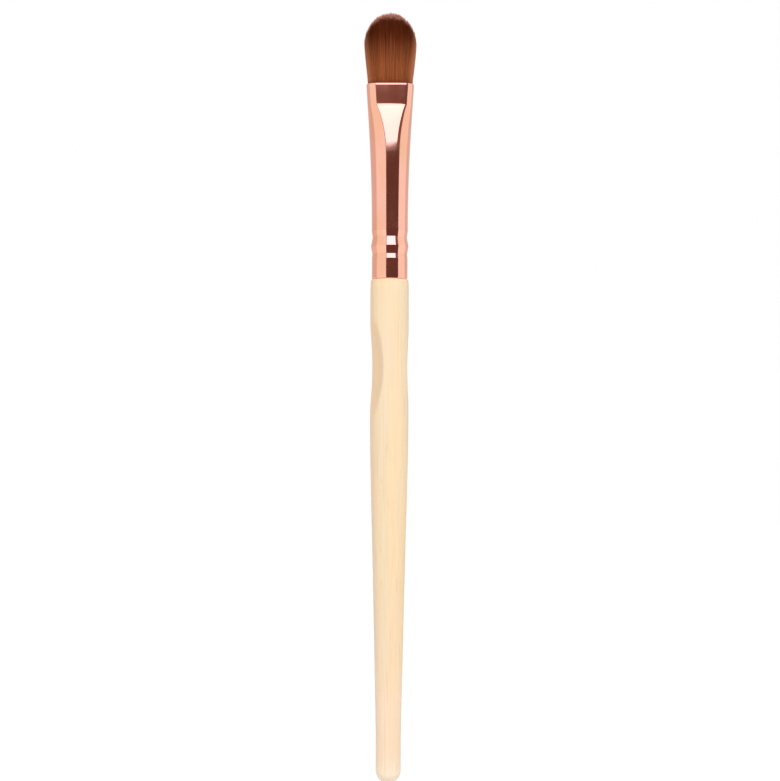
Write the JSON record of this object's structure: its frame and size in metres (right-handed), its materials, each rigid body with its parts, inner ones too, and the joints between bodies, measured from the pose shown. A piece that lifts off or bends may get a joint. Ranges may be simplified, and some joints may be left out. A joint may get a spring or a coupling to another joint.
{
  "type": "eyeshadow brush",
  "caption": "Flat domed eyeshadow brush: soft filament tuft in a flattened, crimped rose-gold ferrule on a tapered bamboo handle with a scooped grip.",
  "frame": {"origin": "on the handle's axis, at the lower end of the tail's straight wall, where it meets the round end", "axes": "+Z along the handle from the tail to the filaments, X across the wide side of the tuft, -Y out of its front face"},
  "size_m": [0.0115, 0.0088, 0.17],
  "materials": {
    "bamboo": "pale bamboo, fine straight grain, satin lacquer",
    "rose_gold": "mirror-polished rose-gold plating",
    "filament": "fine synthetic filaments, chestnut at the root and dark brown towards the tip, soft sheen",
    "epoxy": "cured amber epoxy",
    "thread": "natural cotton binding thread"
  },
  "bodies": {
    "brush_body": {"handle": "bamboo", "tenon_glue": "epoxy", "ferrule": "rose_gold", "root_glue": "epoxy", "binding_thread": "thread", "bristle_roots": "filament"},
    "free_tuft": {"bristle_tuft": "filament"}
  },
  "joints": [
    {"name": "tuft_bend", "type": "hinge", "parent": "brush_body", "child": "free_tuft", "pos_m": [0, 0, 0.1523], "axis": [1, 0, 0], "range_deg": [-40, 40], "stiffness_Nm_per_rad": 0.01}
  ]
}
